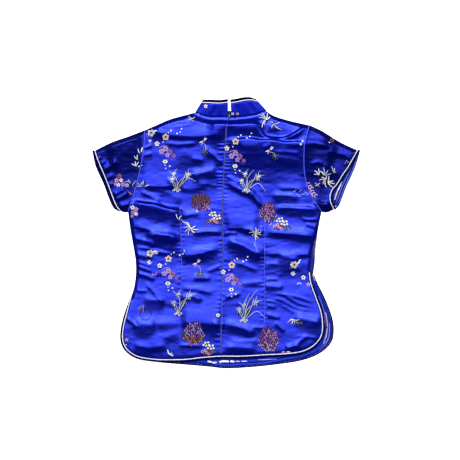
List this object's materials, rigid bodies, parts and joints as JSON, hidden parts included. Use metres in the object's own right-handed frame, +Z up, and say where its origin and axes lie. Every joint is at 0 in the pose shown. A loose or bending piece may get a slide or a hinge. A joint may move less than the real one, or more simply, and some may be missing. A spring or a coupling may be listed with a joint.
{
  "type": "short-sleeved ao dai top",
  "caption": "Hip-length satin top with stand collar, short sleeves, side slits and a centre-back zip, laid flat with its back up.",
  "frame": {"origin": "centre of the garment's box, on the surface it lies on", "axes": "+Z up from the surface, +Y towards the collar, +X towards the wearer's right as the back is seen"},
  "size_m": [0.5896, 0.5968, 0.0122],
  "materials": {
    "satin": "royal blue silk-like satin with a woven flower pattern",
    "binding": "plain dark blue satin bias binding",
    "piping": "white satin cord",
    "zip_tape": "navy nylon coil and tape",
    "zip_metal": "navy lacquer"
  },
  "bodies": {
    "garment": {"front_panel": "satin", "back_left": "satin", "back_right": "satin", "sleeve_left": "satin", "sleeve_right": "satin", "collar_left": "satin", "collar_right": "satin", "hem_facing_front": "satin", "cuff_facing_right": "satin", "hem_binding_back": "binding", "hem_binding_front": "binding", "cuff_binding_left": "binding", "cuff_binding_right": "binding", "collar_binding_left": "binding", "collar_binding_right": "binding", "hem_piping_back": "piping", "hem_piping_front": "piping", "cuff_piping_left": "piping", "cuff_piping_right": "piping", "collar_piping_left": "piping", "collar_piping_right": "piping", "zip_chain": "zip_tape", "zip_slider": "zip_metal"},
    "pull_tab": {"zip_pull": "zip_metal"}
  },
  "joints": [
    {"name": "pull_swing", "type": "hinge", "parent": "garment", "child": "pull_tab", "pos_m": [0.0084, 0.2665, 0.0076], "axis": [-0.9703, -0.2419, 0], "range_deg": [0, 150]}
  ]
}
